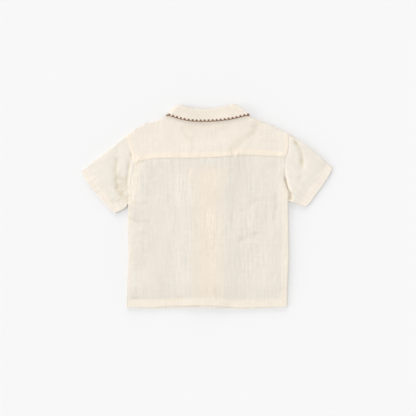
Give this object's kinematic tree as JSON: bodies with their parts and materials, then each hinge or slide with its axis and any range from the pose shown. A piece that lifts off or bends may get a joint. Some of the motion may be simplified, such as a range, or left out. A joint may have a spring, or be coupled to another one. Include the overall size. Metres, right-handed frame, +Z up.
{
  "type": "short-sleeve shirt laid flat",
  "caption": "Child's short-sleeve shirt, buttoned and laid flat on its front: doubled back yoke, set-in hemmed sleeves, folded collar with scalloped edging.",
  "frame": {"origin": "centre of the bounding box in plan, at the height of the surface the shirt lies on", "axes": "+X across the chest towards the wearer's right, +Y from the hem to the collar, +Z up from the surface; the back of the shirt faces up"},
  "size_m": [0.468, 0.3812, 0.0081],
  "materials": {
    "linen": "plain-woven linen and cotton, undyed cream, matt",
    "edging": "brown twisted thread, matt",
    "button": "cream, satin"
  },
  "bodies": {
    "root": {"back_panel": "linen", "yoke": "linen", "front_left": "linen", "front_right": "linen", "sleeve_left": "linen", "sleeve_right": "linen", "collar": "linen", "collar_edging": "edging", "button_1": "button", "button_2": "button", "button_3": "button", "button_4": "button", "button_5": "button"}
  },
  "joints": []
}
